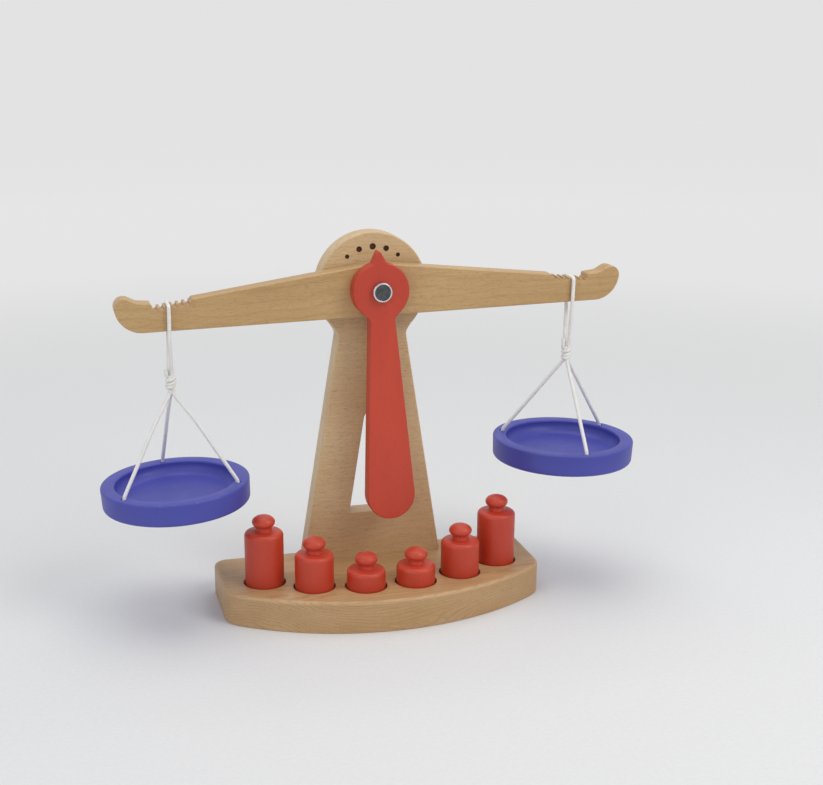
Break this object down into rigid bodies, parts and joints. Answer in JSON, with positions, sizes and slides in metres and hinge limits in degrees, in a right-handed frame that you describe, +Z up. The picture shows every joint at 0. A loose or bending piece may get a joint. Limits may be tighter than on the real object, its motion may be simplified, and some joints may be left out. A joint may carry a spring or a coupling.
{
  "type": "wooden balance scale toy",
  "caption": "Beech balance scale toy with a tilting beam, a red pointer, two blue pans on white cords and red weights standing in sockets.",
  "frame": {"origin": "middle of the base's underside, on the table", "axes": "X along the beam, to the right as the player sees it; Y from the player to the back; Z up"},
  "size_m": [0.3705, 0.1197, 0.2495],
  "materials": {
    "beech": "clear satin lacquer",
    "red_paint": "red lacquer over wood",
    "blue_paint": "blue lacquer over wood",
    "chrome": "plated",
    "steel": "zinc plated",
    "nylon": "natural",
    "cord": "braided"
  },
  "bodies": {
    "stand": {"base": "beech", "upright": "beech", "foot_screws": "steel", "pivot_sleeve": "chrome", "pivot_screw": "steel", "rear_washer": "steel", "spacer_washer": "nylon"},
    "beam": {"beam": "beech", "pointer": "red_paint", "pointer_dowels": "beech"},
    "left_hanger": {"left_loop_cord": "cord", "left_knot": "cord"},
    "left_pan": {"left_pan": "blue_paint", "left_strands": "cord", "left_stopper_knots": "cord"},
    "right_hanger": {"right_loop_cord": "cord", "right_knot": "cord"},
    "right_pan": {"right_pan": "blue_paint", "right_strands": "cord", "right_stopper_knots": "cord"},
    "weight_small_left": {"weight_small_left": "red_paint"},
    "weight_small_right": {"weight_small_right": "red_paint"},
    "weight_medium_left": {"weight_medium_left": "red_paint"},
    "weight_medium_right": {"weight_medium_right": "red_paint"},
    "weight_large_left": {"weight_large_left": "red_paint"},
    "weight_large_right": {"weight_large_right": "red_paint"}
  },
  "joints": [
    {"name": "beam_tilt", "type": "hinge", "parent": "stand", "child": "beam", "pos_m": [0, 0.02175, 0.214], "axis": [0, 1, 0], "range_deg": [-6, 9.2]},
    {"name": "left_hanger_turn", "type": "hinge", "parent": "beam", "child": "left_hanger", "pos_m": [-0.13634, 0.02175, 0.20967], "axis": [0, 1, 0], "range_deg": [-9.2, 6]},
    {"name": "left_pan_swing", "type": "hinge", "parent": "left_hanger", "child": "left_pan", "pos_m": [-0.13634, 0.02175, 0.15417], "axis": [-1, 0, 0], "range_deg": [-8, 8]},
    {"name": "right_hanger_turn", "type": "hinge", "parent": "beam", "child": "right_hanger", "pos_m": [0.1364, 0.02175, 0.21538], "axis": [0, 1, 0], "range_deg": [-9.2, 6]},
    {"name": "right_pan_swing", "type": "hinge", "parent": "right_hanger", "child": "right_pan", "pos_m": [0.1364, 0.02175, 0.15748], "axis": [1, 0, 0], "range_deg": [-8, 8]},
    {"name": "lift_weight_small_left", "type": "slide", "parent": "stand", "child": "weight_small_left", "axis": [0, 0, 1], "range_m": [0, 0.06]},
    {"name": "lift_weight_small_right", "type": "slide", "parent": "stand", "child": "weight_small_right", "axis": [0, 0, -1], "range_m": [-0.06, 0]},
    {"name": "lift_weight_medium_left", "type": "slide", "parent": "stand", "child": "weight_medium_left", "axis": [0, 0, 1], "range_m": [0, 0.06]},
    {"name": "lift_weight_medium_right", "type": "slide", "parent": "stand", "child": "weight_medium_right", "axis": [0, 0, -1], "range_m": [-0.06, 0]},
    {"name": "lift_weight_large_left", "type": "slide", "parent": "stand", "child": "weight_large_left", "axis": [0, 0, 1], "range_m": [0, 0.01]},
    {"name": "lift_weight_large_right", "type": "slide", "parent": "stand", "child": "weight_large_right", "axis": [0, 0, -1], "range_m": [-0.01, 0]}
  ],
  "couplings": [
    {"joint": "left_hanger_turn", "follows": "beam_tilt", "ratio": -1},
    {"joint": "right_hanger_turn", "follows": "beam_tilt", "ratio": -1}
  ]
}
